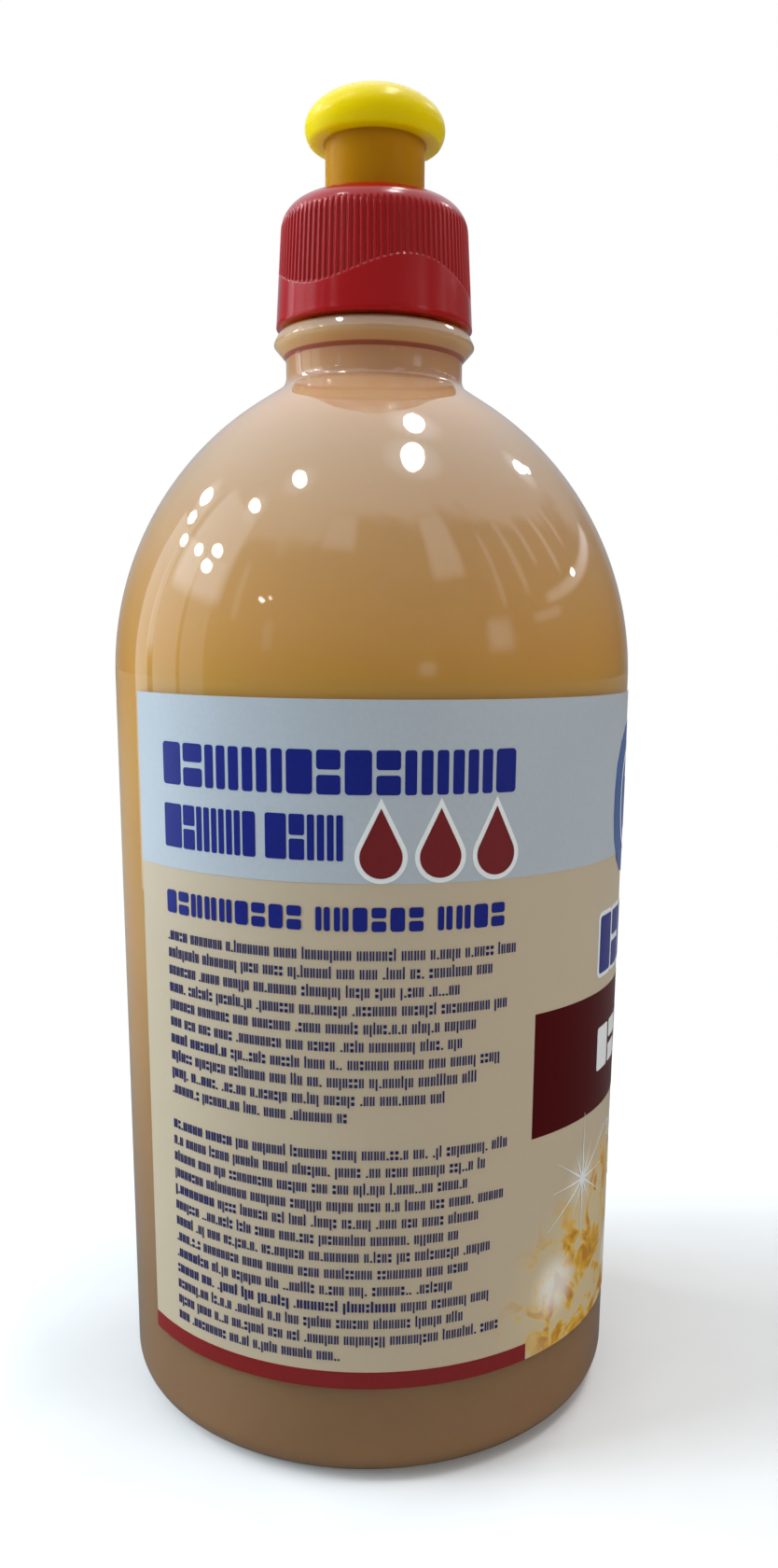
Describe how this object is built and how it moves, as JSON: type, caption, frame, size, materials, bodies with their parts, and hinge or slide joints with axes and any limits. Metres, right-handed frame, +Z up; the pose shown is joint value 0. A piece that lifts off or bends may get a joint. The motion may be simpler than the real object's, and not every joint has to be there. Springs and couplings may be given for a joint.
{
  "type": "liquid soap bottle",
  "caption": "Round clear bottle of liquid soap with a wrap label, a ribbed screw cap and a push-pull spout that opens for squeezing soap out.",
  "frame": {"origin": "centre of the standing ring, on the floor under the bottle's axis", "axes": "+Z up the bottle's axis, -Y towards the viewer of the small-print panel, +X towards the front panel's start"},
  "size_m": [0.0904, 0.0904, 0.2248],
  "materials": {
    "clear_pet": "clear glossy blown PET",
    "soap": "thick pearly liquid soap",
    "label_film": "satin printed plastic film, cream",
    "sky_ink": "flat pale blue ink",
    "red_ink": "flat dark red ink",
    "navy_ink": "flat navy ink",
    "white_ink": "flat white ink",
    "liner_foam": "soft closed-cell foam",
    "red_plastic": "moulded polypropylene, satin gloss",
    "yellow_plastic": "moulded polyethylene, slightly translucent"
  },
  "bodies": {
    "bottle": {"bottle": "clear_pet", "soap": "soap", "label_film": "label_film", "label_sky_print": "sky_ink", "label_red_print": "red_ink", "label_navy_print": "navy_ink", "label_white_print": "white_ink"},
    "liner": {"cap_liner": "liner_foam"},
    "cap": {"cap": "red_plastic"},
    "pull_top": {"pull_top": "yellow_plastic"}
  },
  "joints": [
    {"name": "cap_lift", "type": "slide", "parent": "bottle", "child": "liner", "axis": [0, 0, 1], "range_m": [0, 0.0064]},
    {"name": "cap_turn", "type": "hinge", "parent": "liner", "child": "cap", "pos_m": [0, 0, 0.2], "axis": [0, 0, 1], "range_deg": [0, 540]},
    {"name": "pull_top_slide", "type": "slide", "parent": "cap", "child": "pull_top", "axis": [0, 0, 1], "range_m": [0, 0.0055]}
  ],
  "couplings": [
    {"joint": "cap_lift", "follows": "cap_turn", "m_per_rad": 0.00067322}
  ]
}
